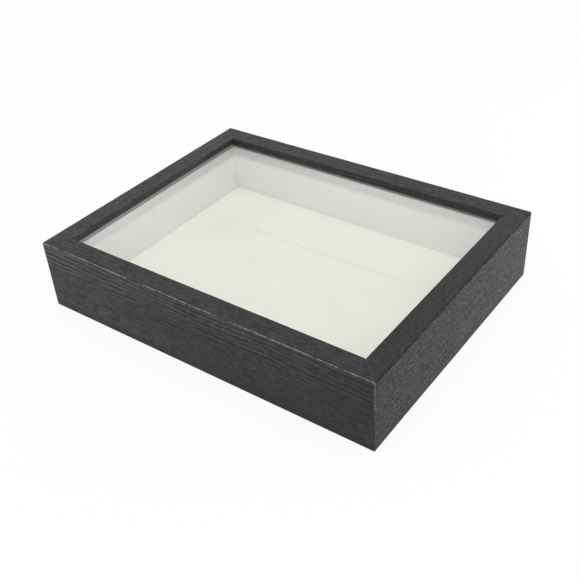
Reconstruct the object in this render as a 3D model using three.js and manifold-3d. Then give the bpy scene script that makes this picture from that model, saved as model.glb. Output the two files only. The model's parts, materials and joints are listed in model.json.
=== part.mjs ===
import * as THREE from 'three';
import { mergeVertices } from 'three/addons/utils/BufferGeometryUtils.js';
import Module from 'manifold-3d';

const wasm = await Module();
wasm.setup();

// A shadow box lying on its back, in millimetres. +X runs along the long rails, +Y across them
// and +Z out through the glass. Names follow the box as it hangs: the top rail is at +Y.

// Whole box
const boxLength = 220;
const boxWidth = 170;
const boxHeight = 43.5;

// Frame moulding: an upright wall with a lip over the glass
const wallThickness = 8;
const lipReach = 4.3;
const lipThickness = 5.9;
const frontEdgeRadius = 1;
const sightEdgeRadius = 0.6;
const rearEdgeRadius = 0.6;
const mitreGap = 0.1;

// Play between pieces
const fitPlay = 0.4; // around the glass and the backing, inside the walls
const liningPlay = 0.3; // behind and between the lining strips
const stackGap = 0.2; // from lip to glass, glass to lining and lining to backing
const pinPlay = 0.2; // around each screw and nail
const headGap = 0.1; // under each screw and nail head
const cutOverrun = 1;

// Glass and lining
const glassThickness = 2;
const glassArris = 0.3;
const liningThickness = 2.5;

// Backing
const boardThickness = 2;
const sheetThickness = 0.3;

// Turn buttons, each in a pocket of the rear rim
const buttonThickness = 0.8;
const buttonWidth = 5;
const buttonTipWidth = 3.6;
const buttonOverlap = 10; // how far a closed button reaches over the board
const buttonGap = 0.25; // between a closed button and the board
const pocketPlay = 0.3;
const pocketSkin = 1.5; // wood left between a pocket and the outer face
const longRailButtonShares = [-0.27, 0.27]; // of the rail's length, from its middle
const shortRailButtonShares = [0];

// Screws of the turn buttons
const screwRadius = 1;
const screwBite = 8;
const screwTip = 2;
const screwHeadRadius = 2.2;
const screwHeadHeight = 0.5;
const screwHeadRim = 0.2;
const driveLength = 2.4;
const driveWidth = 0.5;
const driveDepth = 0.3;
const rearClearance = 0.15; // from the rear rim in to the lowest screw head

// Corner nails, driven into each mitre from behind
const cornerNailLeg = 4.5;
const cornerNailThickness = 0.5;
const cornerNailDepth = 10;
const cornerNailSink = 0.3;
const cornerNailPlay = 0.3;
const cornerNailPlaceShare = 0.56; // of the wall, from the outer face
const cornerNailHalfAngle = Math.PI / 3;

// Saw-tooth hangers, one for each way up
const hangerLength = 44;
const hangerWidth = 9;
const hangerThickness = 0.6;
const hangerPad = 9;
const hangerRamp = 1.5;
const hangerClearance = 0.4; // from the rear rim in to the hanger
const hangerSpace = 4; // between a hanger and the tip of a closed button
const toothCount = 9;
const toothDepth = 1.8;
const toothRunShare = 0.94; // of the raised middle
const hangerNailRadius = 0.8;
const hangerNailHeadRadius = 2;
const hangerNailHeadHeight = 0.5;
const hangerNailHeadRim = 0.2;
const hangerNailBite = 1.4;
const hangerNailTip = 0.6;

// Roundness
const edgeSteps = 4;
const roundSteps = 10;
const turnSteps = 24;

// Levels, measured from the rear rim, which is at zero
const backRecess = rearClearance + screwHeadHeight + headGap + buttonThickness + buttonGap;
const boardTop = backRecess + boardThickness;
const floorLevel = boardTop + sheetThickness;
const lipUnderside = boxHeight - lipThickness;
const glassUnderside = lipUnderside - stackGap - glassThickness;
const liningTop = glassUnderside - stackGap;
const liningBottom = floorLevel + stackGap;

// Plan sizes
const rebateLength = boxLength - 2 * wallThickness;
const rebateWidth = boxWidth - 2 * wallThickness;
const insertLength = rebateLength - 2 * fitPlay;
const insertWidth = rebateWidth - 2 * fitPlay;
const pocketRadius = buttonWidth / 2 + pocketPlay;
const pivotInset = pocketSkin + pocketRadius;
const buttonReach = wallThickness - pivotInset + fitPlay + buttonOverlap;

const materials = {
  rail: new THREE.MeshStandardMaterial({ color: 0x474749, roughness: 0.62, metalness: 0 }),
  glass: new THREE.MeshStandardMaterial({
    color: 0xe9f0ee, roughness: 0.05, metalness: 0, transparent: true, opacity: 0.2,
  }),
  lining: new THREE.MeshStandardMaterial({ color: 0xdcddd9, roughness: 0.85, metalness: 0 }),
  sheet: new THREE.MeshStandardMaterial({ color: 0xe9e9df, roughness: 0.9, metalness: 0 }),
  board: new THREE.MeshStandardMaterial({ color: 0x8f6f4d, roughness: 0.85, metalness: 0 }),
  steel: new THREE.MeshStandardMaterial({ color: 0xb8babd, roughness: 0.35, metalness: 1 }),
};

// Mesh helpers

function toSolid(geometry) {
  const plain = geometry.clone();
  plain.deleteAttribute('normal');
  plain.deleteAttribute('uv');
  const merged = mergeVertices(plain);
  return new wasm.Manifold(new wasm.Mesh({
    numProp: 3,
    vertProperties: new Float32Array(merged.attributes.position.array),
    triVerts: new Uint32Array(merged.index.array),
  }));
}

function toGeometry(solid) {
  const mesh = solid.getMesh();
  const geometry = new THREE.BufferGeometry();
  geometry.setAttribute('position', new THREE.BufferAttribute(mesh.vertProperties, 3));
  geometry.setIndex(new THREE.BufferAttribute(mesh.triVerts, 1));
  geometry.computeVertexNormals();
  return geometry;
}

function cut(geometry, cutters) {
  let solid = toSolid(geometry);
  for (const cutter of cutters) {
    solid = solid.subtract(toSolid(cutter));
  }
  return toGeometry(solid);
}

function plate(shape, bottom, top) {
  const geometry = new THREE.ExtrudeGeometry(shape, {
    depth: top - bottom, bevelEnabled: false, curveSegments: roundSteps,
  });
  return geometry.translate(0, 0, bottom);
}

function block(lengthX, lengthY, bottom, top) {
  const geometry = new THREE.BoxGeometry(lengthX, lengthY, top - bottom);
  return geometry.translate(0, 0, (bottom + top) / 2);
}

function turned(points) {
  const profile = points.map(([radius, height]) => new THREE.Vector2(radius, height));
  return new THREE.LatheGeometry(profile, turnSteps).rotateX(Math.PI / 2);
}

function rod(radius, bottom, top) {
  return turned([[0, bottom], [radius, bottom], [radius, top], [0, top]]);
}

function named(name, geometry, material) {
  const mesh = new THREE.Mesh(geometry, material);
  mesh.name = name;
  return mesh;
}

// Frame rails. A rail lies along its own X axis with its outer face at y = 0 and its wall at y > 0.

function railProfile() {
  const sightEdge = wallThickness + lipReach;
  const shape = new THREE.Shape();
  shape.moveTo(wallThickness, 0);
  shape.lineTo(wallThickness, lipUnderside);
  shape.lineTo(sightEdge, lipUnderside);
  shape.lineTo(sightEdge, boxHeight - sightEdgeRadius);
  shape.absarc(sightEdge - sightEdgeRadius, boxHeight - sightEdgeRadius, sightEdgeRadius,
    0, Math.PI / 2, false);
  shape.lineTo(frontEdgeRadius, boxHeight);
  shape.absarc(frontEdgeRadius, boxHeight - frontEdgeRadius, frontEdgeRadius,
    Math.PI / 2, Math.PI, false);
  shape.lineTo(0, rearEdgeRadius);
  shape.absarc(rearEdgeRadius, rearEdgeRadius, rearEdgeRadius, Math.PI, Math.PI * 1.5, false);
  return shape;
}

function mitredRail(length) {
  const geometry = new THREE.ExtrudeGeometry(railProfile(), {
    depth: length, bevelEnabled: false, curveSegments: edgeSteps,
  });
  const alongX = new THREE.Vector3(1, 0, 0);
  const alongY = new THREE.Vector3(0, 1, 0);
  const alongZ = new THREE.Vector3(0, 0, 1);
  geometry.applyMatrix4(new THREE.Matrix4().makeBasis(alongY, alongZ, alongX));
  const position = geometry.attributes.position;
  for (let i = 0; i < position.count; i += 1) {
    const end = length / 2 - position.getY(i) - mitreGap;
    position.setX(i, position.getX(i) > 0 ? end : -end);
  }
  return geometry;
}

function pocketShape() {
  const mouth = wallThickness - pivotInset + cutOverrun;
  const farCentre = buttonReach + pocketPlay - pocketRadius;
  const shape = new THREE.Shape();
  shape.moveTo(-pocketRadius, mouth);
  shape.lineTo(-pocketRadius, 0);
  shape.absarc(0, 0, pocketRadius, Math.PI, Math.PI * 1.5, false);
  shape.lineTo(farCentre, -pocketRadius);
  shape.absarc(farCentre, 0, pocketRadius, -Math.PI / 2, 0, false);
  shape.lineTo(farCentre + pocketRadius, mouth);
  return shape;
}

// The nail's plan is a chevron with its point at the origin and its legs opening towards +X.
function cornerNailShape(play) {
  const leg = cornerNailLeg + play;
  const half = cornerNailThickness / 2 + play;
  const along = Math.cos(cornerNailHalfAngle);
  const across = Math.sin(cornerNailHalfAngle);
  const outerEnd = [leg * along - half * across, leg * across + half * along];
  const innerEnd = [leg * along + half * across, leg * across - half * along];
  const shape = new THREE.Shape();
  shape.moveTo(-half / across, 0);
  shape.lineTo(outerEnd[0], -outerEnd[1]);
  shape.lineTo(innerEnd[0], -innerEnd[1]);
  shape.lineTo(half / across, 0);
  shape.lineTo(innerEnd[0], innerEnd[1]);
  shape.lineTo(outerEnd[0], outerEnd[1]);
  return shape;
}

function cornerNailSlot(length, end) {
  const place = wallThickness * cornerNailPlaceShare;
  const slot = plate(cornerNailShape(cornerNailPlay), -cutOverrun,
    cornerNailSink + cornerNailDepth + cornerNailPlay);
  slot.rotateZ(end > 0 ? Math.PI * 0.75 : Math.PI * 0.25);
  return slot.translate(end * (length / 2 - place), place, 0);
}

function railGeometry(length, pivots) {
  const cutters = [cornerNailSlot(length, -1), cornerNailSlot(length, 1)];
  for (const pivot of pivots) {
    const pocket = plate(pocketShape(), -cutOverrun, backRecess);
    const pilot = rod(screwRadius + pinPlay, 0, backRecess + screwBite + pinPlay);
    cutters.push(pocket.translate(pivot, pivotInset, 0));
    cutters.push(pilot.translate(pivot, pivotInset, 0));
  }
  return cut(mitredRail(length), cutters);
}

// Turn buttons and their screws. Each is drawn with its pivot on the Z axis and the arm along +X.

function turnButton() {
  const radius = buttonWidth / 2;
  const tipRadius = buttonTipWidth / 2;
  const tipCentre = buttonReach - tipRadius;
  const shape = new THREE.Shape();
  shape.absarc(0, 0, radius, Math.PI / 2, Math.PI * 1.5, false);
  shape.lineTo(tipCentre, -tipRadius);
  shape.absarc(tipCentre, 0, tipRadius, -Math.PI / 2, Math.PI / 2, false);
  const hole = new THREE.Path();
  hole.absarc(0, 0, screwRadius + pinPlay, 0, Math.PI * 2, true);
  shape.holes.push(hole);
  return plate(shape, backRecess - buttonGap - buttonThickness, backRecess - buttonGap);
}

function buttonScrew() {
  const headTop = rearClearance + screwHeadHeight;
  const tip = backRecess + screwBite;
  const screw = turned([
    [0, rearClearance],
    [screwHeadRadius - screwHeadRim, rearClearance],
    [screwHeadRadius, rearClearance + screwHeadRim],
    [screwHeadRadius, headTop],
    [screwRadius, headTop],
    [screwRadius, tip - screwTip],
    [0, tip],
  ]);
  const driveTop = rearClearance + driveDepth;
  return cut(screw, [
    block(driveLength, driveWidth, -cutOverrun, driveTop),
    block(driveWidth, driveLength, -cutOverrun, driveTop),
  ]);
}

// Backing: hangers and their nails

function hangerGeometry() {
  const rise = backRecess - hangerClearance - hangerThickness;
  const end = hangerLength / 2;
  const padEdge = end - hangerPad;
  const middle = padEdge - hangerRamp;
  const top = rise + hangerThickness;
  const side = new THREE.Shape();
  side.moveTo(-end, rise);
  side.lineTo(-padEdge, rise);
  side.lineTo(-middle, 0);
  side.lineTo(middle, 0);
  side.lineTo(padEdge, rise);
  side.lineTo(end, rise);
  side.lineTo(end, top);
  side.lineTo(padEdge, top);
  side.lineTo(middle, hangerThickness);
  side.lineTo(-middle, hangerThickness);
  side.lineTo(-padEdge, top);
  side.lineTo(-end, top);
  const strip = new THREE.ExtrudeGeometry(side, { depth: hangerWidth, bevelEnabled: false });
  strip.rotateX(Math.PI / 2).translate(0, hangerWidth / 2, 0);
  const cutters = [-1, 1].map((sign) => rod(hangerNailRadius + pinPlay, -cutOverrun, top + cutOverrun)
    .translate(sign * (end - hangerPad / 2), 0, 0));
  const pitch = 2 * middle * toothRunShare / toothCount;
  for (let i = 0; i < toothCount; i += 1) {
    const notch = new THREE.Shape();
    notch.moveTo(-pitch / 2, -cutOverrun);
    notch.lineTo(pitch / 2, -cutOverrun);
    notch.lineTo(0, toothDepth);
    const place = (i - (toothCount - 1) / 2) * pitch;
    cutters.push(plate(notch, -cutOverrun, top + cutOverrun).translate(place, -hangerWidth / 2, 0));
  }
  return cut(strip, cutters).translate(0, 0, hangerClearance);
}

function hangerNail() {
  const headTop = backRecess - hangerThickness - headGap;
  const headBottom = headTop - hangerNailHeadHeight;
  const tip = backRecess + hangerNailBite;
  return turned([
    [0, headBottom],
    [hangerNailHeadRadius - hangerNailHeadRim, headBottom],
    [hangerNailHeadRadius, headBottom + hangerNailHeadRim],
    [hangerNailHeadRadius, headTop],
    [hangerNailRadius, headTop],
    [hangerNailRadius, tip - hangerNailTip],
    [0, tip],
  ]);
}

// Each hanger faces the middle of the board with its teeth, at the top edge and at the left edge.
const hangerEdgeInset = buttonOverlap + hangerSpace + hangerWidth / 2;
const hangers = [
  { name: 'landscape', x: 0, y: insertWidth / 2 - hangerEdgeInset, turn: 0 },
  { name: 'portrait', x: hangerEdgeInset - insertLength / 2, y: 0, turn: Math.PI / 2 },
];

function nailPlaces(hanger) {
  const offset = (hangerLength - hangerPad) / 2;
  return [-offset, offset].map((along) => [
    hanger.x + along * Math.cos(hanger.turn),
    hanger.y + along * Math.sin(hanger.turn),
  ]);
}

function boardGeometry() {
  const holes = hangers.flatMap(nailPlaces).map(([x, y]) => rod(hangerNailRadius + pinPlay,
    backRecess - cutOverrun, backRecess + hangerNailBite + pinPlay).translate(x, y, 0));
  return cut(block(insertLength, insertWidth, backRecess, boardTop), holes);
}

function buildBacking() {
  const backing = new THREE.Group();
  backing.add(named('backing_board', boardGeometry(), materials.board));
  backing.add(named('backing_sheet', block(insertLength, insertWidth, boardTop, floorLevel),
    materials.sheet));
  for (const hanger of hangers) {
    const strip = named(`${hanger.name}_hanger`, hangerGeometry(), materials.steel);
    strip.position.set(hanger.x, hanger.y, 0);
    strip.rotation.z = hanger.turn;
    backing.add(strip);
    nailPlaces(hanger).forEach(([x, y], i) => {
      const nail = named(`${hanger.name}_hanger_nail_${i + 1}`, hangerNail(), materials.steel);
      nail.position.set(x, y, 0);
      backing.add(nail);
    });
  }
  return backing;
}

// Frame: four sides, each with its rail, turn buttons and screws
const sides = [
  { name: 'bottom', length: boxLength, y: -boxWidth / 2, x: 0, turn: 0 },
  { name: 'right', length: boxWidth, y: 0, x: boxLength / 2, turn: Math.PI / 2 },
  { name: 'top', length: boxLength, y: boxWidth / 2, x: 0, turn: Math.PI },
  { name: 'left', length: boxWidth, y: 0, x: -boxLength / 2, turn: -Math.PI / 2 },
];

function buildSide(side) {
  const shares = side.length === boxLength ? longRailButtonShares : shortRailButtonShares;
  const pivots = shares.map((share) => share * side.length);
  const group = new THREE.Group();
  group.position.set(side.x, side.y, 0);
  group.rotation.z = side.turn;
  group.add(named(`${side.name}_rail`, railGeometry(side.length, pivots), materials.rail));
  pivots.forEach((pivot, i) => {
    const label = pivots.length > 1 ? `${side.name}_${i + 1}` : side.name;
    const button = named(`turn_button_${label}`, turnButton(), materials.steel);
    const screw = named(`button_screw_${label}`, buttonScrew(), materials.steel);
    button.position.set(pivot, pivotInset, 0);
    screw.position.set(pivot, pivotInset, 0);
    group.add(button, screw);
  });
  return group;
}

function buildCornerNails() {
  const group = new THREE.Group();
  const place = wallThickness * cornerNailPlaceShare;
  const corners = [
    ['bottom_left', -1, -1],
    ['bottom_right', 1, -1],
    ['top_right', 1, 1],
    ['top_left', -1, 1],
  ];
  for (const [name, signX, signY] of corners) {
    const geometry = plate(cornerNailShape(0), cornerNailSink, cornerNailSink + cornerNailDepth);
    const nail = named(`corner_nail_${name}`, geometry, materials.steel);
    nail.position.set(signX * (boxLength / 2 - place), signY * (boxWidth / 2 - place), 0);
    nail.rotation.z = Math.atan2(-signY, -signX);
    group.add(nail);
  }
  return group;
}

function buildGlass() {
  const pane = new THREE.Shape();
  const halfLength = insertLength / 2 - glassArris;
  const halfWidth = insertWidth / 2 - glassArris;
  pane.moveTo(-halfLength, -halfWidth);
  pane.lineTo(halfLength, -halfWidth);
  pane.lineTo(halfLength, halfWidth);
  pane.lineTo(-halfLength, halfWidth);
  const geometry = new THREE.ExtrudeGeometry(pane, {
    depth: glassThickness - 2 * glassArris,
    bevelThickness: glassArris,
    bevelSize: glassArris,
    bevelSegments: 1,
  });
  return named('glass_pane', geometry.translate(0, 0, glassUnderside + glassArris), materials.glass);
}

// The long lining strips run the whole rebate and the short ones stand between them.
function buildLining() {
  const group = new THREE.Group();
  const longRun = rebateLength - 2 * liningPlay;
  const shortRun = rebateWidth - 4 * liningPlay - 2 * liningThickness;
  const offsetX = rebateLength / 2 - liningPlay - liningThickness / 2;
  const offsetY = rebateWidth / 2 - liningPlay - liningThickness / 2;
  const strips = [
    ['bottom', longRun, liningThickness, 0, -offsetY],
    ['top', longRun, liningThickness, 0, offsetY],
    ['left', liningThickness, shortRun, -offsetX, 0],
    ['right', liningThickness, shortRun, offsetX, 0],
  ];
  for (const [name, sizeX, sizeY, x, y] of strips) {
    const strip = named(`${name}_lining`, block(sizeX, sizeY, liningBottom, liningTop),
      materials.lining);
    strip.position.set(x, y, 0);
    group.add(strip);
  }
  return group;
}

const shadowBox = new THREE.Group();
const frame = new THREE.Group();
frame.add(...sides.map(buildSide), buildCornerNails(), buildGlass(), buildLining());
shadowBox.add(buildBacking(), frame);

export default shadowBox;
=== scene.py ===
import json
import math

import bmesh
import bpy
from mathutils import Matrix, Vector


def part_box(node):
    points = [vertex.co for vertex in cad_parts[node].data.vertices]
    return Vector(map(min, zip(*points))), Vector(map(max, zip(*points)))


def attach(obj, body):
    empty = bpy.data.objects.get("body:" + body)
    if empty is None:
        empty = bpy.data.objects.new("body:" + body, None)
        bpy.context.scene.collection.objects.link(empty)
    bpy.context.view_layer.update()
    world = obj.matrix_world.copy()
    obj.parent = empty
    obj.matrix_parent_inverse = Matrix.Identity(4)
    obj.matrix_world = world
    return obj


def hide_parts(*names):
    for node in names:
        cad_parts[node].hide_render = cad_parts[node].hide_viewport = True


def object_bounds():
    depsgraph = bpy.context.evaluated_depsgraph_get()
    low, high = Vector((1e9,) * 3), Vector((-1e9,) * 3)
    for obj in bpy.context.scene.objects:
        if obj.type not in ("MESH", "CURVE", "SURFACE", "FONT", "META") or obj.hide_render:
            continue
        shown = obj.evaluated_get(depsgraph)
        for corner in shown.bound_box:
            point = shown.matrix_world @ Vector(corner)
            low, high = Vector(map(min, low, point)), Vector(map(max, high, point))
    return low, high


# A shadow box lying on its back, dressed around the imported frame. Shapes are in metres, and the grain and
# the materials reckon in millimetres.

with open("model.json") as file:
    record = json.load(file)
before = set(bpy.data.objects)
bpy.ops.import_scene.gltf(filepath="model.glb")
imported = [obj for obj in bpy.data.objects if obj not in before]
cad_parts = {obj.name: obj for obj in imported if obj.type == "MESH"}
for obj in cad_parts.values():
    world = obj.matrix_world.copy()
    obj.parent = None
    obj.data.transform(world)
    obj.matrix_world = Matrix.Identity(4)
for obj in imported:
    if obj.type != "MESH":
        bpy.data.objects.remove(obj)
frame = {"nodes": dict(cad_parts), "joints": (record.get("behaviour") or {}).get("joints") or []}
scene = bpy.context.scene
cadLow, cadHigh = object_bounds()
print("frame loaded:", len(frame["nodes"]), "nodes")

perMillimetre = 1000.0


# Camera, solved from the box's corners in the photograph

# The lens and its sensor are in millimetres, and the angles in degrees.
photo = {
    "lens": 53.803,
    "sensor": 36.0,
    "azimuth": 38.047,
    "elevation": 36.038,
    "roll": -3.805,
    "aim": (0.00016, -0.00091, 0.0),
    "distance": 0.51625,
    "nearest": 0.01,
}


def placeCamera():
    azimuth = math.radians(photo["azimuth"])
    elevation = math.radians(photo["elevation"])
    roll = math.radians(photo["roll"])
    back = Vector((
        math.sin(azimuth) * math.cos(elevation),
        -math.cos(azimuth) * math.cos(elevation),
        math.sin(elevation),
    ))
    level = back.cross(Vector((0, 0, -1))).normalized()
    raised = back.cross(level)
    right = level * math.cos(roll) + raised * math.sin(roll)
    up = back.cross(right)
    turn = Matrix((right, up, back)).transposed().to_4x4()
    lens = bpy.data.cameras.new("photo_camera")
    lens.lens = photo["lens"]
    lens.sensor_width = photo["sensor"]
    lens.clip_start = photo["nearest"]
    camera = bpy.data.objects.new("photo_camera", lens)
    scene.collection.objects.link(camera)
    camera.matrix_world = Matrix.Translation(Vector(photo["aim"]) + back * photo["distance"]) @ turn
    scene.camera = camera


# Node trees, written as expressions


class Wire:
    # A socket of a shader or geometry tree. Sums and products of wires add their Math nodes.
    def __init__(self, tree, socket=None):
        self.tree = tree
        self.socket = socket

    def node(self, kind, settings, sockets):
        made = self.tree.nodes.new(kind)
        for name, value in settings.items():
            setattr(made, name, value)
        for key, value in sockets.items():
            if isinstance(value, Wire):
                self.tree.links.new(value.socket, made.inputs[key])
            elif isinstance(value, list):  # a socket that takes several links
                for wire in value:
                    self.tree.links.new(wire.socket, made.inputs[key])
            else:
                made.inputs[key].default_value = value
        return Wire(self.tree, made.outputs[0] if made.outputs else None)

    def pick(self, name):  # another output of the same node
        return Wire(self.tree, self.socket.node.outputs[name])

    def maths(self, operation, first, second=0.0):
        return self.node("ShaderNodeMath", {"operation": operation}, {0: first, 1: second})

    def __add__(self, other):
        return self.maths("ADD", self, other)

    def __radd__(self, other):
        return self.maths("ADD", other, self)

    def __sub__(self, other):
        return self.maths("SUBTRACT", self, other)

    def __rsub__(self, other):
        return self.maths("SUBTRACT", other, self)

    def __mul__(self, other):
        return self.maths("MULTIPLY", self, other)

    def __rmul__(self, other):
        return self.maths("MULTIPLY", other, self)

    def __truediv__(self, other):
        return self.maths("DIVIDE", self, other)

    def __abs__(self):
        return self.maths("ABSOLUTE", self)

    def clamp(self, low, high):  # eased from 0 at low to 1 at high
        settings = {"interpolation_type": "SMOOTHSTEP"}
        return self.node("ShaderNodeMapRange", settings, {0: self, 1: low, 2: high})

    def hump(self, width):  # 1 where the wire is zero, a third of that at width and nothing far out
        return self.maths("EXPONENT", self.maths("POWER", abs(self) / width, 2.0) * -1.0)

    def parts(self):
        split = self.node("ShaderNodeSeparateXYZ", {}, {0: self})
        return split, split.pick("Y"), split.pick("Z")

    def join(self, x, y, z):
        return self.node("ShaderNodeCombineXYZ", {}, {0: x, 1: y, 2: z})

    def noise(self, place, detail=2.0, roughness=0.5):
        values = {"Vector": place, "Scale": 1.0, "Detail": detail, "Roughness": roughness}
        return self.node("ShaderNodeTexNoise", {}, values)

    def tint(self, share, first, second):  # a colour between two
        return self.node("ShaderNodeMix", {"data_type": "RGBA"}, {0: share, 6: first, 7: second}).pick(2)

    def bump(self, height, strength, distance):
        values = {"Strength": strength, "Distance": distance, "Height": height}
        return self.node("ShaderNodeBump", {}, values)


def newMaterial(name):
    material = bpy.data.materials.new(name)
    material.use_nodes = True
    material.node_tree.nodes.clear()
    return material, Wire(material.node_tree)


def objectPlace(start):  # x, y and z of the surface in millimetres
    place = start.node("ShaderNodeTexCoord", {}, {}).pick("Object")
    settings = {"operation": "SCALE"}
    return start.node("ShaderNodeVectorMath", settings, {0: place, "Scale": perMillimetre}).parts()


def stored(start, name):  # three numbers that a geometry tree stored on the surface
    return start.node("ShaderNodeAttribute", {"attribute_name": name}, {}).pick("Vector").parts()


def finishSurface(start, values):
    shader = start.node("ShaderNodeBsdfPrincipled", {}, values)
    start.node("ShaderNodeOutputMaterial", {}, {"Surface": shader})


# Materials

foil = {
    "dark": (0.006, 0.006, 0.0062, 1),
    "cool": (0.052, 0.051, 0.060, 1),
    "warm": (0.0525, 0.0525, 0.0540, 1),
    # The next two are the pale of worn edges with painted glints on them, and the painted highlight on the
    # lip's lower edge
    "worn": (0.20, 0.20, 0.205, 1),
    "edge": (0.25, 0.25, 0.245, 1),
    "specular": 0.25,
    "roughness": 0.50,
    "bumpDepth": 0.0001,
    "cloudShade": 0.30,
    "lipShade": 0.10,
    "footShade": 0.30,
    "footHeight": 6.0,
    "rimShade": 0.8,
    "rimWidth": 0.45,
    "mitreWidth": 0.42,
    "lipMitreWidth": 0.35,
}


def foilMaterial(sightEdge, footEdge):
    # Reads what the rail tree stores: grain is along, across and seed; relief is ridge, groove and relief;
    # edge is the distance round from the outer top edge, the distance to the mitre and the wear and painted
    # glint of that edge; shade is the tone with painted light and shade in it, the strength of the pores and
    # the wear and painted highlight at the mitre; the lip's glint is the painted highlight on its lower
    # edge.
    # The lip's inner side starts at sightEdge and the rail's foot lies at footEdge. Distances are in
    # millimetres, only bumpDepth is in metres, and noise is scaled per millimetre.
    material, start = newMaterial("charcoal_grain_foil")
    along, across, seed = stored(start, "grain")
    ridge, groove, relief = stored(start, "relief")
    around, toMitre, wearAndGlint = stored(start, "edge")
    foilTone, poreShare, mitreShare = stored(start, "shade")
    hem = start.node("ShaderNodeAttribute", {"attribute_name": "hem"}, {}).pick("Fac")

    threads = start.noise(start.join(along * 0.10, across * 3.0, seed), 2.0, 0.6)
    streaks = start.noise(start.join(along * 0.06, across * 0.75, seed + 31.0), 2.0, 0.55)
    pores = start.noise(start.join(along * 0.45, across * 1.1, seed + 5.0), 2.0, 0.6)
    cloud = start.noise(start.join(along * 0.02, around * 0.05, seed + 9.0), 2.0)
    side = around.clamp(-0.8, 0.6)  # 0 on the face, 1 on the outer side
    hue = start.noise(start.join(along * 0.03, around * 0.07, seed + 70.0), 2.0).clamp(0.4, 0.6)
    hue = hue * (1.0 - side * 0.4)
    mottle = start.noise(start.join(along * 0.22, around * 0.45, seed + 50.0), 3.0, 0.7)
    grained = (ridge - 0.5) * 1.5 - groove * 0.15 + (streaks - 0.5) * 0.7 + (threads - 0.5) * 0.5
    lip = 1.0 - around.clamp(sightEdge - 0.4, sightEdge)  # 1 on the lip's inner side
    speckle = (pores - 0.5) * (0.3 + side * 0.4) + (mottle - 0.5) * 1.5
    speckle = speckle * poreShare * (1.0 - lip * 0.7)
    # foot is painted shade: darker over the last millimetres towards the rail's foot
    foot = around.clamp(footEdge - foil["footHeight"], footEdge + 0.3)
    # rim is painted shade: a dark line along the fold at the outer top edge, strongest where the edge is
    # least worn
    rim = (around - foil["rimWidth"]).hump(foil["rimWidth"]) * (1.0 - wearAndGlint) * foil["rimShade"]
    shade = grained * relief + speckle + foilTone + (cloud - 0.5) * foil["cloudShade"]
    # The lip's inner side is painted paler here: painted light
    shade = shade + lip * foil["lipShade"] - foot * foil["footShade"] - rim
    pale = start.tint(hue, foil["cool"], foil["warm"])
    base = start.tint(shade.clamp(-0.1, 1.1), foil["dark"], pale)

    # Broken pale dashes along the outer top edge: wear, with painted glints where light would catch the edge
    dashes = start.noise(start.join(along * 0.085, seed, seed + 3.0), 3.0, 0.65).clamp(0.28, 0.54)
    flecks = start.noise(start.join(along * 0.6, around * 1.4, seed), 2.0).clamp(0.36, 0.56)
    sway = (start.noise(start.join(along * 0.16, seed, 0.0), 2.0) - 0.5) * 0.5
    topWearAndGlint = (around + sway).hump(0.22 + dashes * 0.16) * (0.22 + dashes * 0.85)
    topWearAndGlint = topWearAndGlint * (0.3 + flecks * 0.7) * wearAndGlint
    # Pale lines at the mitres: wear with painted highlights on the outer corner, and a painted highlight on
    # the lip's inner corner
    mitreWearAndGlint = toMitre.hump(foil["mitreWidth"]) * (0.35 + flecks * 0.65) * mitreShare
    mitreWearAndGlint = mitreWearAndGlint * (0.55 + side * 0.45) * (1.0 - around.clamp(8.0, 32.0) * 0.8)
    mitreWearAndGlint = mitreWearAndGlint + toMitre.hump(foil["lipMitreWidth"]) * lip * 0.4
    base = start.tint((topWearAndGlint + mitreWearAndGlint).clamp(0.0, 1.0), base, foil["worn"])
    # A painted highlight along the lip's lower edge, broken up by the pores
    base = start.tint(hem * (0.75 + pores * 0.5), base, foil["edge"])

    roughness = foil["roughness"] + (0.5 - pores) * 0.3 * poreShare
    roughness = roughness + groove * 0.14 - ridge * 0.05 + rim * 0.6
    height = (threads * 0.4 + streaks * 0.5) * relief + (pores * 0.5 + mottle * 0.5) * poreShare
    finishSurface(start, {
        "Base Color": base,
        "Roughness": roughness,
        "Specular IOR Level": foil["specular"],
        "Normal": start.bump(height, 0.7, foil["bumpDepth"]),
    })
    return material


# Pressed fibre. fleck is the pitch of the flecks in millimetres, and strands are lay times as long along X.
rawCore = {
    "name": "raw_fibre_core",
    "dark": (0.20, 0.13, 0.075, 1),
    "pale": (0.34, 0.235, 0.145, 1),
    "fleck": 0.5,
    "lay": 3.0,
    "roughness": 0.82,
    "bumpDepth": 0.00005,
}
hardboard = {
    "name": "hardboard",
    "dark": (0.13, 0.08, 0.045, 1),
    "pale": (0.24, 0.155, 0.09, 1),
    "fleck": 0.9,
    "lay": 4.0,
    "roughness": 0.82,
    "bumpDepth": 0.00005,
}


def fibreMaterial(fibre):
    material, start = newMaterial(fibre["name"])
    x, y, z = objectPlace(start)
    pitch = fibre["fleck"]
    flecks = start.noise(start.join(x / pitch, y / pitch, z / pitch), 3.0, 0.65)
    strands = start.noise(start.join(x / (pitch * fibre["lay"]), y / pitch, z / pitch), 2.0)
    cloud = start.noise(start.join(x * 0.03, y * 0.03, z * 0.03), 2.0)
    shade = flecks * 0.5 + strands * 0.3 + cloud * 0.3
    finishSurface(start, {
        "Base Color": start.tint(shade.clamp(0.3, 0.8), fibre["dark"], fibre["pale"]),
        "Roughness": fibre["roughness"] + flecks * 0.12,
        "Normal": start.bump(flecks + strands, 0.5, fibre["bumpDepth"]),
    })
    return material


lining = {
    "shade": (0.825, 0.825, 0.825, 1),
    "pale": (0.845, 0.845, 0.845, 1),
    "roughness": 0.82,
    "bumpDepth": 0.00005,
    "edge": 0.00004,
    "endReach": 0.00028,
    "footReach": 0.00012,
}


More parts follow.
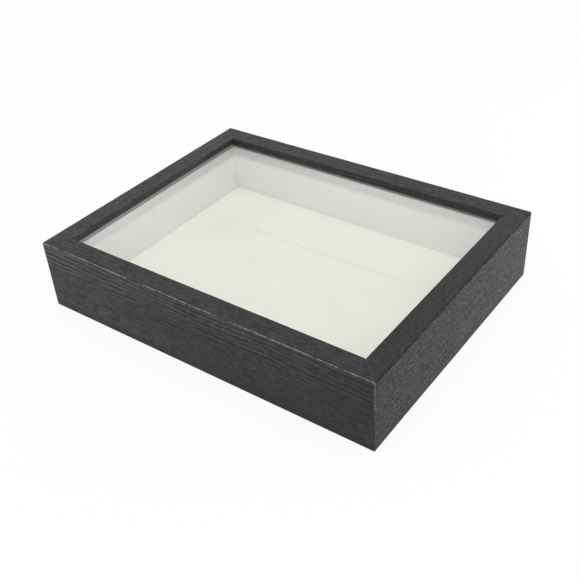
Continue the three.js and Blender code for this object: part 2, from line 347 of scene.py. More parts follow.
def liningMaterial():
    # Papered card with faint upright streaks
    material, start = newMaterial("white_lining_paper")
    x, y, z = objectPlace(start)
    streaks = start.noise(start.join(x * 0.45, y * 0.45, z * 0.012), 2.0)
    fibres = start.noise(start.join(x * 2.2, y * 2.2, z * 2.2), 3.0, 0.6)
    shade = streaks * 0.75 + fibres * 0.25
    finishSurface(start, {
        "Base Color": start.tint(shade.clamp(0.3, 0.7), lining["shade"], lining["pale"]),
        "Roughness": lining["roughness"] + fibres * 0.1,
        "Normal": start.bump(streaks * 0.6 + fibres * 0.4, 0.35, lining["bumpDepth"]),
    })
    return material


sheet = {
    "shade": (0.84, 0.84, 0.765, 1),
    "pale": (0.90, 0.90, 0.83, 1),
    "crease": (0.77, 0.73, 0.56, 1),
    "roughness": 0.86,
    "bumpDepth": 0.00006,
    "creaseEnds": (-62.0, 60.0),
    "creasePlace": 35.2,
    "creaseWander": 1.2,
    "creaseWidth": 0.65,
    "dentSpread": 1.6,
    "creaseDepth": 0.00008,
    "fadeOut": 4.0,
    "fadeIn": 8.0,
    "wave": 0.00006,
    "columns": 60,
    "rows": 240,
}


def creaseShare(start, x, y, width):
    # 1 in the crease, from places in millimetres. It fades away before and past each of its ends.
    first, last = sheet["creaseEnds"]
    wander = (start.noise(start.join(x * 0.03, 0.0, 0.0), 1.0) - 0.5) * sheet["creaseWander"]
    begun = x.clamp(first - sheet["fadeOut"], first + sheet["fadeIn"])
    ended = x.clamp(last - sheet["fadeIn"], last + sheet["fadeOut"])
    return (y - sheet["creasePlace"] + wander).hump(width) * (begun * (1.0 - ended))


def sheetMaterial():
    material, start = newMaterial("cream_cover_paper")
    x, y, z = objectPlace(start)
    fibres = start.noise(start.join(x * 1.6, y * 1.6, z), 4.0, 0.6)
    cloud = start.noise(start.join(x * 0.02, y * 0.03, z), 2.0)
    weft = start.noise(start.join(x * 0.3, y * 3.0, z), 2.0)
    shade = fibres * 0.3 + cloud * 0.5 + weft * 0.2
    base = start.tint(shade.clamp(0.3, 0.7), sheet["shade"], sheet["pale"])
    # The crease is painted darker and yellower: a yellowed fold, with painted shade in the crease
    crease = creaseShare(start, x, y, sheet["creaseWidth"])
    base = start.tint(crease * 0.75, base, sheet["crease"])
    finishSurface(start, {
        "Base Color": base,
        "Roughness": sheet["roughness"] + fibres * 0.08,
        "Normal": start.bump(fibres * 0.5 + weft * 0.3 - crease * 0.6, 0.4, sheet["bumpDepth"]),
    })
    return material


glass = {
    "tint": (0.99, 0.993, 0.99, 1),
    "clear": (0.985, 0.99, 0.985, 1),
    "index": 1.42,
    "rippleDepth": 0.00005,
}


def glassMaterial():
    # Clear glass that lets lamp light and light between the walls straight through
    material, start = newMaterial("clear_float_glass")
    x, y, z = objectPlace(start)
    ripple = start.noise(start.join(x * 0.012, y * 0.009, z * 0.01), 1.0)
    pane = start.node("ShaderNodeBsdfPrincipled", {}, {
        "Base Color": glass["tint"],
        "Roughness": 0.0,
        "IOR": glass["index"],
        "Transmission Weight": 1.0,
        "Normal": start.bump(ripple, 0.3, glass["rippleDepth"]),
    })
    clear = start.node("ShaderNodeBsdfTransparent", {}, {"Color": glass["clear"]})
    path = start.node("ShaderNodeLightPath", {}, {})
    lit = start.node("ShaderNodeMixShader", {}, {0: path.pick("Is Shadow Ray"), 1: pane, 2: clear})
    both = start.node("ShaderNodeMixShader", {}, {0: path.pick("Is Diffuse Ray"), 1: lit, 2: clear})
    start.node("ShaderNodeOutputMaterial", {}, {"Surface": both})
    return material


steel = {
    "dull": (0.40, 0.41, 0.43, 1),
    "bright": (0.50, 0.51, 0.53, 1),
    "roughness": 0.26,
    "bumpDepth": 0.00002,
}


def steelMaterial():
    # Zinc plating: cloudy, with fine rub marks
    material, start = newMaterial("zinc_plate")
    x, y, z = objectPlace(start)
    cloud = start.noise(start.join(x * 0.4, y * 0.4, z * 0.4), 3.0, 0.6)
    rubs = start.noise(start.join(x * 0.8, y * 9.0, z * 2.0), 2.0)
    finishSurface(start, {
        "Base Color": start.tint(cloud.clamp(0.3, 0.7), steel["dull"], steel["bright"]),
        "Metallic": 1.0,
        "Roughness": steel["roughness"] + cloud * 0.14 + rubs * 0.1,
        "Normal": start.bump(rubs, 0.2, steel["bumpDepth"]),
    })
    return material


# Geometry trees


def geometryTree(name, inputs):
    tree = bpy.data.node_groups.new(name, "GeometryNodeTree")
    for label, kind in inputs.items():
        tree.interface.new_socket(label, in_out="INPUT", socket_type="NodeSocket" + kind)
    tree.interface.new_socket("Geometry", in_out="OUTPUT", socket_type="NodeSocketGeometry")
    return Wire(tree).node("NodeGroupInput", {}, {})


def store(geometry, name, value, kind):
    settings = {"data_type": kind, "domain": "POINT"}
    sockets = {"Geometry": geometry, "Name": name, "Value": value}
    return geometry.node("GeometryNodeStoreNamedAttribute", settings, sockets)


def recall(wire, name):
    settings = {"data_type": "FLOAT"}
    return wire.node("GeometryNodeInputNamedAttribute", settings, {"Name": name}).pick("Attribute")


def newPiece(name, mesh):
    piece = bpy.data.objects.new(name, mesh)
    scene.collection.objects.link(piece)
    return piece


def applied(piece):  # the piece with its modifiers made part of its mesh
    graph = bpy.context.evaluated_depsgraph_get()
    old = piece.data
    piece.data = bpy.data.meshes.new_from_object(
        piece.evaluated_get(graph), preserve_all_data_layers=True, depsgraph=graph)
    piece.modifiers.clear()
    bpy.data.meshes.remove(old)
    return piece


def grow(name, tree, values, spots=()):  # the plain mesh that a tree makes from its values and the spots
    mesh = bpy.data.meshes.new(name)
    mesh.from_pydata(list(spots), [], [])
    piece = newPiece(name, mesh)
    modifier = piece.modifiers.new("grow", "NODES")
    modifier.node_group = tree
    for item in tree.interface.items_tree:
        if item.in_out == "INPUT" and item.name in values:
            modifier[item.identifier] = values[item.name]
    return applied(piece)


sharpDegrees = {
    "rail": 32,
    "eased": 50,
    "fixing": 40,
}


def smooth(piece, degrees):
    piece.data.shade_smooth()
    piece.data.set_sharp_from_angle(angle=math.radians(degrees))


def settle(piece, body, nodes):
    piece.data.name = piece.name
    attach(piece, body)
    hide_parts(*nodes)


# Frame rails

railLow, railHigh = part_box("bottom_rail")
liningLow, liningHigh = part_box("bottom_lining")
buttonLow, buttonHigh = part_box("turn_button_bottom_1")
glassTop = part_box("glass_pane")[1].z
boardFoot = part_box("backing_board")[0].z

rail = {
    "length": cadHigh.x - cadLow.x,
    "width": cadHigh.y - cadLow.y,
    "height": cadHigh.z - cadLow.z,
    "face": railHigh.y - railLow.y,
    "liningPlay": 0.0003,
    "glassPlay": 0.0002,
    "frontRadius": 0.0004,
    "sightRadius": 0.0003,
    "rearRadius": 0.0003,
    "joint": 0.00003,
    "finePitch": 0.0003,
    "arcSteps": 7,
    "rebateSteps": 6,
    "ledgeSteps": 3,
    "footSteps": 5,
    "columns": 161,
}
rail["wall"] = liningLow.y - rail["liningPlay"] - railLow.y
rail["rebate"] = glassTop + rail["glassPlay"]

# The wrap on every rail. It starts past startShare of the lip's underside, and endGap puts its end in the
# rounding at the rail's foot. Depths and endGap are in metres, the other lengths in millimetres.
wrap = {
    "startShare": 0.9,
    "endGap": 0.0001,
    "ridgeDepth": 0.00014,
    "grooveDepth": 0.00007,
    "foldDepth": 0.00022,
    "foldPlace": 0.8,
    "foldWidth": 0.3,
    "mitreDepth": 0.0001,
    "mitreWidth": 0.25,
    "drift": 8.0,
    "waver": 2.0,
    "knotLength": 13.0,
    "knotHeight": 5.0,
    "knotBow": 9.0,
    "knotRelief": 0.38,
    "knotShade": 0.12,
    "hemPaleness": 0.6,
    "firstSeed": 1.3,
    "seedStep": 3.7,
}

# The four rails. size names the side of the box that a rail is as long as, and quarters its quarter turns
# from the bottom of the box. The rest is its grain and its painted light, with lengths in millimetres. Tone
# changes by Face on the face, by Fade over the length and by Sink down the side: these are painted light and
# shade, paler on the face than on the side, paler towards one end and darker down the side. Relief changes
# by Relief Fade over the length and by Drop down the side. Wave is the share of long ridges, Pitch their
# distance and Slope their lean. Pores is the strength of short marks on the side and Mottle on the face.
# Wear
# And Glint is the wear and painted glint of the outer top edge, and where it is low a painted dark line lies
# along that edge. Mitre is the wear and painted highlight at the mitres, more or less by Mitre Fade at one
# end. Run shortens the streaks. Face Grain is the share of the relief on the face, Lip Glint the height and
# strength of the painted highlight on the lip's lower edge, and Knot the place of a knot, along and down the
# rail, and its strength.
rails = {
    "bottom": {
        "size": "length", "quarters": 0, "Wear": 1.0, "Slope": 0.012, "Run": 1.0,
        "Tone": 0.40, "Face": 0.06, "Fade": -0.27, "Sink": 0.17, "Wave": 1.0, "Pitch": 2.7,
        "Relief": 0.72, "Relief Fade": -0.60, "Drop": 0.94, "Pores": 0.8, "Mottle": 1.0,
        "Mitre": 0.45, "Mitre Fade": 0.7, "Face Grain": 0.2, "Hem": 1.2, "Knot": (-66.0, 29.0, 1.0),
    },
    "right": {
        "size": "width", "quarters": 1, "Wear": 0.16, "Slope": 0.0, "Run": 1.3,
        "Tone": 0.20, "Face": 0.21, "Fade": 0.29, "Sink": 0.05, "Wave": 0.9, "Pitch": 2.0,
        "Relief": 0.36, "Relief Fade": -0.3, "Drop": -1.3, "Pores": 2.5, "Mottle": 0.8,
        "Mitre": 0.55, "Mitre Fade": -0.5, "Face Grain": 0.2, "Hem": 1.2, "Knot": (0.0, 0.0, 0.0),
    },
    "top": {
        "size": "length", "quarters": 2, "Wear": 0.5, "Slope": 0.015, "Run": 1.3,
        "Tone": 0.43, "Face": 0.03, "Fade": 0.0, "Sink": 0.10, "Wave": 0.8, "Pitch": 2.5,
        "Relief": 0.65, "Relief Fade": 0.0, "Drop": 0.4, "Pores": 1.1, "Mottle": 1.0,
        "Mitre": 0.22, "Mitre Fade": -0.3, "Face Grain": 0.5, "Hem": 1.2, "Knot": (0.0, 0.0, 0.0),
    },
    "left": {
        "size": "width", "quarters": 3, "Wear": 0.5, "Slope": 0.0, "Run": 1.6,
        "Tone": 0.44, "Face": 0.10, "Fade": 0.0, "Sink": 0.10, "Wave": 0.6, "Pitch": 1.9,
        "Relief": 0.65, "Relief Fade": 0.0, "Drop": 0.3, "Pores": 1.3, "Mottle": 1.2,
        "Mitre": 0.10, "Mitre Fade": 0.0, "Face Grain": 0.45, "Hem": 2.0, "Knot": (0.0, 0.0, 0.0),
    },
}


def stretch(start, end, steps):  # points from start to end, without the end
    gap = [b - a for a, b in zip(start, end)]
    return [tuple(a + g * i / steps for a, g in zip(start, gap)) for i in range(steps)]


def bend(centre, radius, first, last, steps):
    points = []
    for i in range(steps):
        angle = math.radians(first + (last - first) * i / steps)
        points.append((centre[0] + radius * math.cos(angle), centre[1] + radius * math.sin(angle)))
    return points


def sectionPoints():
    # Inward and up, from the rebate's foot over the lip and the face and down the outer side
    wall, face, height = rail["wall"], rail["face"], rail["height"]
    front, sight, rear = rail["frontRadius"], rail["sightRadius"], rail["rearRadius"]
    steps = rail["arcSteps"]

    def fine(start, end):
        return stretch(start, end, max(1, round(math.dist(start, end) / rail["finePitch"])))

    points = stretch((wall, 0.0), (wall, rail["rebate"]), rail["rebateSteps"])
    points += stretch((wall, rail["rebate"]), (face, rail["rebate"]), rail["ledgeSteps"])
    points += fine((face, rail["rebate"]), (face, height - sight))
    points += bend((face - sight, height - sight), sight, 0, 90, steps)
    points += fine((face - sight, height), (front, height))
    points += bend((front, height - front), front, 90, 180, steps)
    points += fine((0.0, height - front), (0.0, rear))
    points += bend((rear, rear), rear, 180, 270, steps)
    points += stretch((rear, 0.0), (wall, 0.0), rail["footSteps"])
    return points


def sectionCurve(points):
    curve = bpy.data.curves.new("rail_section", "CURVE")
    spline = curve.splines.new("POLY")
    spline.points.add(len(points) - 1)
    for point, (inward, up) in zip(spline.points, points):
        point.co = (inward, up, 0, 1)
    spline.use_cyclic_u = True
    return newPiece("rail_section", curve)


def edgeDistance():
    # Round the section from its start to the middle of the outer top edge
    inner = rail["rebate"] + (rail["face"] - rail["wall"]) + (rail["height"] - rail["rebate"])
    corner = (2 - math.pi / 2) * rail["sightRadius"]
    flat = rail["face"] - rail["frontRadius"]
    return inner - corner + flat + rail["frontRadius"] * math.pi / 4


def sweptRail(given):
    # The section swept along X between its mitres
    info = given.node("GeometryNodeObjectInfo", {}, {"Object": given.pick("Section")})
    spline = given.node("GeometryNodeSplineParameter", {}, {})
    section = store(info.pick("Geometry"), "around", spline.pick("Length"), "FLOAT")
    line = given.node("GeometryNodeCurvePrimitiveLine", {}, {"Start": (-1, 0, 0), "End": (1, 0, 0)})
    line = given.node("GeometryNodeResampleCurve", {}, {"Curve": line, "Count": given.pick("Columns")})
    eased = given.maths("SINE", (spline.pick("Factor") - 0.5) * math.pi)  # columns crowd at the ends
    line = store(line, "along", eased, "FLOAT")
    values = {"Curve": line, "Profile Curve": section, "Fill Caps": True}
    swept = given.node("GeometryNodeCurveToMesh", {}, values)

    # The sweep leaves the section upside down, so both of its sizes change sign.
    y, z = given.node("GeometryNodeInputPosition", {}, {}).parts()[1:]
    reach = given.pick("Length") * 0.5 + y - given.pick("Joint")
    mitred = given.join(recall(given, "along") * reach, y * -1.0, z * -1.0)
    return given.node("GeometryNodeSetPosition", {}, {"Geometry": swept, "Position": mitred})


def grainedRail(given, swept):
    # Stores on the rail what the foil's material reads, and gives the depth of the relief as well
    x, y = given.node("GeometryNodeInputPosition", {}, {}).parts()[:2]
    seed = given.pick("Seed")
    toMitre = (given.pick("Length") * 0.5 - y - abs(x)) * perMillimetre
    along = x * perMillimetre
    around = (recall(given, "around") - given.pick("Edge")) * perMillimetre
    drift = given.noise(given.join(along * 0.009, around * 0.03, seed), 1.0) - 0.5
    waver = given.noise(given.join(along * 0.05, around * 0.12, seed + 7.0), 1.0) - 0.5
    across = around + drift * wrap["drift"] + waver * wrap["waver"] - along * given.pick("Slope")
    knotAlong, knotDown, knotStrength = given.pick("Knot").parts()
    knot = (along - knotAlong).hump(wrap["knotLength"]) * (around - knotDown).hump(wrap["knotHeight"])
    knot = knot * knotStrength
    across = across + knot * wrap["knotBow"]  # the grain bows round the knot
    share = along / (given.pick("Length") * perMillimetre)  # from -0.5 at one end to 0.5 at the other
    broken = given.noise(given.join(along * 0.03, across * 0.35, seed + 20.0), 1.0).clamp(0.40, 0.60)
    wave = given.maths("SINE", across * (2 * math.pi) / given.pick("Pitch"))
    ridge = 0.5 + wave * (0.15 + broken * 0.35) * given.pick("Wave")
    lines = given.noise(given.join(along * 0.04, across * 1.1, seed + 40.0), 1.0)
    groove = lines.clamp(0.54, 0.68)
    patches = given.noise(given.join(along * 0.012, around * 0.05, seed + 60.0), 1.0)
    lively = given.pick("Relief") + share * given.pick("Relief Fade")
    lively = lively * (1.0 - around.clamp(8.0, 24.0) * given.pick("Drop"))
    side = around.clamp(-1.0, 0.6)  # 0 on the face, 1 on the outer side
    faceGrain = given.pick("Face Grain")
    relief = lively * (faceGrain + side * (1.0 - faceGrain)) * (0.6 + patches.clamp(0.3, 0.62) * 0.4)
    relief = relief + knot * wrap["knotRelief"]
    # Painted light and shade in the tone: paler towards one end, paler on the face than on the side and
    # darker down the side; the knot's darker core is the grain's own
    tone = given.pick("Tone") + share * given.pick("Fade") * (0.2 + side * 0.8)
    tone = tone + (1.0 - side) * given.pick("Face") - around.clamp(3.0, 24.0) * given.pick("Sink")
    tone = tone - knot.clamp(0.75, 1.0) * wrap["knotShade"]
    pores = given.pick("Pores") * side + given.pick("Mottle") * (1.0 - side)
    mitre = given.pick("Mitre") + share * given.pick("Mitre Fade")
    swept = store(swept, "grain", given.join(along * given.pick("Run"), across, seed), "FLOAT_VECTOR")
    swept = store(swept, "relief", given.join(ridge, groove, relief), "FLOAT_VECTOR")
    swept = store(swept, "shade", given.join(tone, pores, mitre), "FLOAT_VECTOR")
    swept = store(swept, "edge", given.join(around, toMitre, given.pick("Wear")), "FLOAT_VECTOR")
    # A painted highlight along the lip's lower edge, its height and strength set per rail
    hem = 1.0 - (around - given.pick("Lip") * perMillimetre - given.pick("Hem")).clamp(-0.4, 0.4)
    swept = store(swept, "hem", hem * given.pick("Hem") * wrap["hemPaleness"], "FLOAT")

    depth = (1.0 - ridge) * given.pick("Ridge Depth") + groove * given.pick("Groove Depth")
    fold = (around - wrap["foldPlace"]).hump(wrap["foldWidth"])  # where the wrap turns down the side
    depth = depth * relief + fold * (1.0 - given.pick("Wear")) * given.pick("Fold Depth")
    depth = depth + toMitre.hump(wrap["mitreWidth"]) * given.pick("Mitre Depth")
    return swept, depth


def railTree():
    given = geometryTree("mitred_rail", {
        "Section": "Object", "Length": "Float", "Joint": "Float", "Columns": "Int", "Seed": "Float",
        "Edge": "Float", "Lip": "Float", "Foil Start": "Float", "Foil End": "Float", "Hem": "Float",
        "Tone": "Float", "Face": "Float", "Fade": "Float", "Sink": "Float",
        "Slope": "Float", "Run": "Float", "Wave": "Float", "Pitch": "Float", "Knot": "Vector",
        "Relief": "Float", "Relief Fade": "Float", "Drop": "Float", "Face Grain": "Float",
        "Pores": "Float", "Mottle": "Float", "Wear": "Float", "Mitre": "Float", "Mitre Fade": "Float",
        "Ridge Depth": "Float", "Groove Depth": "Float", "Fold Depth": "Float", "Mitre Depth": "Float",
        "Foil": "Material", "Core": "Material",
    })
    swept, depth = grainedRail(given, sweptRail(given))
    around = recall(given, "around")
    cover = given.maths("GREATER_THAN", around, given.pick("Foil Start"))
    cover = cover * given.maths("LESS_THAN", around, given.pick("Foil End"))
    swept = store(swept, "foil", cover, "FLOAT")
    cover = recall(given, "foil")
    normal = given.node("GeometryNodeInputNormal", {}, {})
    values = {0: normal, "Scale": depth * cover * -1.0}
    sink = given.node("ShaderNodeVectorMath", {"operation": "SCALE"}, values)
    swept = given.node("GeometryNodeSetPosition", {}, {"Geometry": swept, "Offset": sink})
    values = {"Geometry": swept, "Material": given.pick("Core")}
    swept = given.node("GeometryNodeSetMaterial", {}, values)
    values = {"Geometry": swept, "Selection": cover.maths("GREATER_THAN", cover, 0.5)}
    values["Material"] = given.pick("Foil")
    swept = given.node("GeometryNodeSetMaterial", {}, values)
    given.node("NodeGroupOutput", {}, {0: swept})
    return given.tree


def prism(name, outline, low, high):
    mesh = bpy.data.meshes.new(name)
    shape = bmesh.new()
    lower = [shape.verts.new((x, y, low)) for x, y in outline]
    upper = [shape.verts.new((x, y, high)) for x, y in outline]
    shape.faces.new(lower[::-1])
    shape.faces.new(upper)
    for i in range(len(outline)):
        j = (i + 1) % len(outline)
        shape.faces.new((lower[i], lower[j], upper[j], upper[i]))
    shape.to_mesh(mesh)
    shape.free()
    return mesh


pocket = {
    "play": 0.0003,
    "overrun": 0.001,
    "pilotRadius": 0.0012,
    "pilotDepth": 0.0082,
    "steps": 10,
}
cornerNail = {
    "leg": 0.0045,
    "thickness": 0.0005,
    "placeShare": 0.56,
    "halfAngle": 60.0,
    "play": 0.0003,
}


def cornerNailSlot(place, turn):
    # The chevron of a corner nail with its play, its point at the place and its legs opening along turn
    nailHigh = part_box("corner_nail_bottom_left")[1].z
    leg = cornerNail["leg"] + cornerNail["play"]
    half = cornerNail["thickness"] / 2 + cornerNail["play"]
    along = math.cos(math.radians(cornerNail["halfAngle"]))
    across = math.sin(math.radians(cornerNail["halfAngle"]))
    outer = (leg * along - half * across, leg * across + half * along)
    inner = (leg * along + half * across, leg * across - half * along)
    points = [(-half / across, 0.0), (outer[0], -outer[1]), (inner[0], -inner[1])]
    points += [(half / across, 0.0), inner, outer]
    spin = Matrix.Rotation(math.radians(turn), 2)
    outline = [tuple(Vector(place) + spin @ Vector(point)) for point in points]
    return prism("nail_slot", outline, -pocket["overrun"], nailHigh + cornerNail["play"])


def buttonPivots(side):
    joints = [joint for joint in frame["joints"] if joint["name"].startswith("turn_" + side)]
    return [Vector(joint["pos_m"]) for joint in joints]


def pocketOutline(pivot):
    # Round at the pivot and at the parked button's tip, and open towards the rebate
    halfWidth = (buttonHigh.y - buttonLow.y) / 2 + pocket["play"]
    armReach = buttonHigh.x - buttonLow.x - (buttonHigh.y - buttonLow.y) / 2
    far = pivot.x + armReach + pocket["play"] - halfWidth
    mouth = rail["wall"] + pocket["overrun"]
    points = [(pivot.x - halfWidth, mouth)]
    points += bend((pivot.x, pivot.y), halfWidth, 180, 270, pocket["steps"])
    points += bend((far, pivot.y), halfWidth, 270, 360, pocket["steps"])
    points += [(far + halfWidth, pivot.y), (far + halfWidth, mouth)]
    return points


def cutAway(piece, cutters):
    for mesh in cutters:
        cutter = newPiece("cutter", mesh)
        modifier = piece.modifiers.new("cut", "BOOLEAN")
        modifier.operation = "DIFFERENCE"
        modifier.solver = "MANIFOLD"
        modifier.material_mode = "TRANSFER"
        modifier.object = cutter
        applied(piece)
        bpy.data.objects.remove(cutter)
        bpy.data.meshes.remove(mesh)


def makeRails(foilFinish, coreFinish):
    points = sectionPoints()
    section = sectionCurve(points)
    tree = railTree()
    edge = edgeDistance()
    lipLength = rail["face"] - rail["wall"]
    for seed, (side, grain) in enumerate(rails.items()):
        size = grain["size"]
        other = "width" if size == "length" else "length"
        values = {
            "Section": section,
            "Length": rail[size],
            "Joint": rail["joint"],
            "Columns": rail["columns"],
            "Edge": edge,
            "Lip": rail["rebate"] + lipLength - edge,
            "Foil Start": rail["rebate"] + lipLength * wrap["startShare"],
            "Foil End": edge + rail["height"] - wrap["endGap"],
            "Seed": seed * wrap["seedStep"] + wrap["firstSeed"],
            "Ridge Depth": wrap["ridgeDepth"],
            "Groove Depth": wrap["grooveDepth"],
            "Fold Depth": wrap["foldDepth"],
            "Mitre Depth": wrap["mitreDepth"],
            "Foil": foilFinish,
            "Core": coreFinish,
        }
        piece = grow(side + "_rail_wrapped", tree, dict(values, **grain))
        turn = Matrix.Rotation(grain["quarters"] * math.pi / 2, 4, "Z")
        place = turn @ Matrix.Translation((0, -rail[other] / 2, 0))
        inset = rail["wall"] * cornerNail["placeShare"]
        reach = rail[size] / 2 - inset
        cutters = [cornerNailSlot((-reach, inset), 45), cornerNailSlot((reach, inset), 135)]
        for world in buttonPivots(side):
            pivot = place.inverted() @ world
            shape = prism("pocket", pocketOutline(pivot), -pocket["overrun"], boardFoot)
            hole = bend((pivot.x, pivot.y), pocket["pilotRadius"], 0, 360, pocket["steps"] * 2)
            bore = prism("pilot", hole, 0.0, boardFoot + pocket["pilotDepth"])
            cutters += [shape, bore]
        for mesh in cutters:
            mesh.materials.append(coreFinish)
        cutAway(piece, cutters)
        piece.data.transform(place)
        smooth(piece, sharpDegrees["rail"])
        settle(piece, "frame", [side + "_rail"])
        print(side, "rail:", len(piece.data.polygons), "faces")
    bpy.data.objects.remove(section)


# Lining, glass, sheet and board

# How a copy of a CAD solid is joined up and flattened, and the radius of its edges, in metres
edgeEase = {
    "weld": 0.00001,
    "flatDegrees": 1,
    "segments": 2,
    "board": 0.0002,
    "turn_button": 0.00018,
    "corner_nail": 0.00008,
    "hanger": 0.00012,
}


def softened(node, name, radius):
    # A copy of a CAD node with its edges eased
    mesh = frame["nodes"][node].data.copy()
    shape = bmesh.new()
    shape.from_mesh(mesh)
    bmesh.ops.remove_doubles(shape, verts=shape.verts, dist=edgeEase["weld"])
    flat = math.radians(edgeEase["flatDegrees"])
    bmesh.ops.dissolve_limit(shape, angle_limit=flat, verts=shape.verts, edges=shape.edges)
    shape.to_mesh(mesh)
    shape.free()
    piece = newPiece(name, mesh)
    bevel = piece.modifiers.new("ease", "BEVEL")
    bevel.width = radius
    bevel.segments = edgeEase["segments"]
    bevel.limit_method = "ANGLE"
    applied(piece)
    smooth(piece, sharpDegrees["eased"])
    return piece


def dress(piece, material):
    piece.data.materials.clear()
    piece.data.materials.append(material)


def closeUp(strip):
    # The card strips press against each other and nearly reach the sheet
    middle = (liningLow.z + liningHigh.z) / 2
    for point in strip.data.vertices:
        if strip.name.startswith(("left", "right")):
            point.co.y += math.copysign(lining["endReach"], point.co.y)
        if point.co.z < middle:
            point.co.z -= lining["footReach"]


def coverTree():
    # A thin sheet whose top is faintly wavy and carries a shallow crease
    given = geometryTree("cover_sheet", {
        "Size": "Vector", "Centre": "Vector", "Columns": "Int", "Rows": "Int", "Wave": "Float",
        "Crease Depth": "Float", "Crease Width": "Float", "Finish": "Material",
    })
    values = {"Size": given.pick("Size")}
    values["Vertices X"] = given.pick("Columns")
    values["Vertices Y"] = given.pick("Rows")
    slab = given.node("GeometryNodeMeshCube", {}, values)
    x, y, z = given.node("GeometryNodeInputPosition", {}, {}).parts()
    x, y = x * perMillimetre, y * perMillimetre
    wave = given.noise(given.join(x * 0.02, y * 0.025, 3.0), 2.0) * given.pick("Wave")
    dent = creaseShare(given, x, y, given.pick("Crease Width")) * given.pick("Crease Depth")
    upper = z.maths("GREATER_THAN", z, 0.0)
    sink = given.join(0.0, 0.0, (wave + dent) * upper * -1.0)
    shift = given.node("ShaderNodeVectorMath", {"operation": "ADD"}, {0: sink, 1: given.pick("Centre")})
    slab = given.node("GeometryNodeSetPosition", {}, {"Geometry": slab, "Offset": shift})
    values = {"Geometry": slab, "Material": given.pick("Finish")}
    given.node("NodeGroupOutput", {}, {0: given.node("GeometryNodeSetMaterial", {}, values)})
    return given.tree


def makeInside(cardFinish, paperFinish, boardFinish, glassFinish):
    for side in rails:
        strip = softened(side + "_lining", side + "_lining_strip", lining["edge"])
        closeUp(strip)
        dress(strip, cardFinish)
        settle(strip, "frame", [side + "_lining"])
    low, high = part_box("backing_sheet")
    cover = grow("cream_cover_sheet", coverTree(), {
        "Size": high - low,
        "Centre": (low + high) / 2,
        "Columns": sheet["columns"],
        "Rows": sheet["rows"],
        "Wave": sheet["wave"],
        "Crease Depth": sheet["creaseDepth"],
        "Crease Width": sheet["creaseWidth"] * sheet["dentSpread"],
        "Finish": paperFinish,
    })
    smooth(cover, sharpDegrees["eased"])
    settle(cover, "backing", ["backing_sheet"])
    board = softened("backing_board", "fibre_backing_board", edgeEase["board"])
    dress(board, boardFinish)
    settle(board, "backing", ["backing_board"])
    dress(frame["nodes"]["glass_pane"], glassFinish)
    print("lining, sheet, board and glass done")


# Screws, nails, turn buttons and hangers

screw = {
    "Head Height": 0.0005,
    "Shank Radius": 0.00095,
    "Pitch": 0.0009,
    "Thread Depth": 0.0003,
    "Neck": 0.0014,
    "Point": 0.002,
    "Drive Length": 0.0024,
    "Drive Width": 0.0005,
    "Drive Depth": 0.0003,
}
nail = {
    "Head Height": 0.0005,
    "Shank Radius": 0.0008,
    "Pitch": 0.0009,
    "Thread Depth": 0.0,
    "Neck": 0.0,
    "Point": 0.0006,
}
fixing = {
    "headSegments": 24,
    "headRings": 12,
    "domePower": 0.45,
    "shankSides": 16,
    "threadSteps": 80,
    "plainSteps": 6,
    "pointTaper": 0.9,
}


def fixingTree(name, sizes, driven):
    # On every point of the mesh, a domed head and a shank that rises from it
    inputs = {"Geometry": "Geometry", "Head Radius": "Float", "Length": "Float"}
    inputs.update({label: "Float" for label in sizes})
    inputs["Finish"] = "Material"
    given = geometryTree(name, inputs)
    height = given.pick("Head Height")
    x, y, z = given.node("GeometryNodeInputPosition", {}, {}).parts()

    values = {"Segments": fixing["headSegments"], "Rings": fixing["headRings"], "Radius": 1.0}
    ball = given.node("GeometryNodeMeshUVSphere", {}, values)
    swell = z.maths("SIGN", z) * z.maths("POWER", abs(z), fixing["domePower"])
    headRadius = given.pick("Head Radius")
    place = given.join(x * headRadius, y * headRadius, (swell + 1.0) * height * 0.5)
    head = given.node("GeometryNodeSetPosition", {}, {"Geometry": ball, "Position": place})

    radius = given.pick("Shank Radius")
    pitch = given.pick("Pitch")
    neck = given.pick("Neck")
    run = given.pick("Length") - height * 0.5
    values = {"Vertices": fixing["shankSides"], "Radius": radius, "Depth": run}
    values["Side Segments"] = fixing["threadSteps"] if driven else fixing["plainSteps"]
    rod = given.node("GeometryNodeMeshCylinder", {}, values)
    up = z + run * 0.5
    turn = y.maths("ARCTAN2", y, x) * (0.5 / math.pi)
    crest = abs(z.maths("FRACT", up / pitch - turn) - 0.5) * 2.0
    ridge = crest * given.pick("Thread Depth") * up.clamp(neck, neck + pitch)
    point = (up - run + given.pick("Point")).clamp(0.0, given.pick("Point"))
    taper = 1.0 - point * fixing["pointTaper"]
    scale = (radius + ridge) / radius * taper
    place = given.join(x * scale, y * scale, up + height * 0.5)
    shank = given.node("GeometryNodeSetPosition", {}, {"Geometry": rod, "Position": place})
    settings = {"operation": "UNION", "solver": "MANIFOLD"}
    solid = given.node("GeometryNodeMeshBoolean", settings, {"Mesh 2": [head, shank]})
    if driven:
        long, wide = given.pick("Drive Length"), given.pick("Drive Width")
        deep = given.pick("Drive Depth") * 2.0  # half of each bar stands below the head
        bars = [given.node("GeometryNodeMeshCube", {}, {"Size": given.join(a, b, deep)})
                for a, b in ((long, wide), (wide, long))]
        settings = {"operation": "DIFFERENCE", "solver": "MANIFOLD"}
        solid = given.node("GeometryNodeMeshBoolean", settings, {"Mesh 1": solid, "Mesh 2": bars})
    values = {"Points": given.pick("Geometry"), "Instance": solid}
    copies = given.node("GeometryNodeInstanceOnPoints", {}, values)
    whole = given.node("GeometryNodeRealizeInstances", {}, {"Geometry": copies})
    values = {"Geometry": whole, "Material": given.pick("Finish")}
    given.node("NodeGroupOutput", {}, {0: given.node("GeometryNodeSetMaterial", {}, values)})
    return given.tree


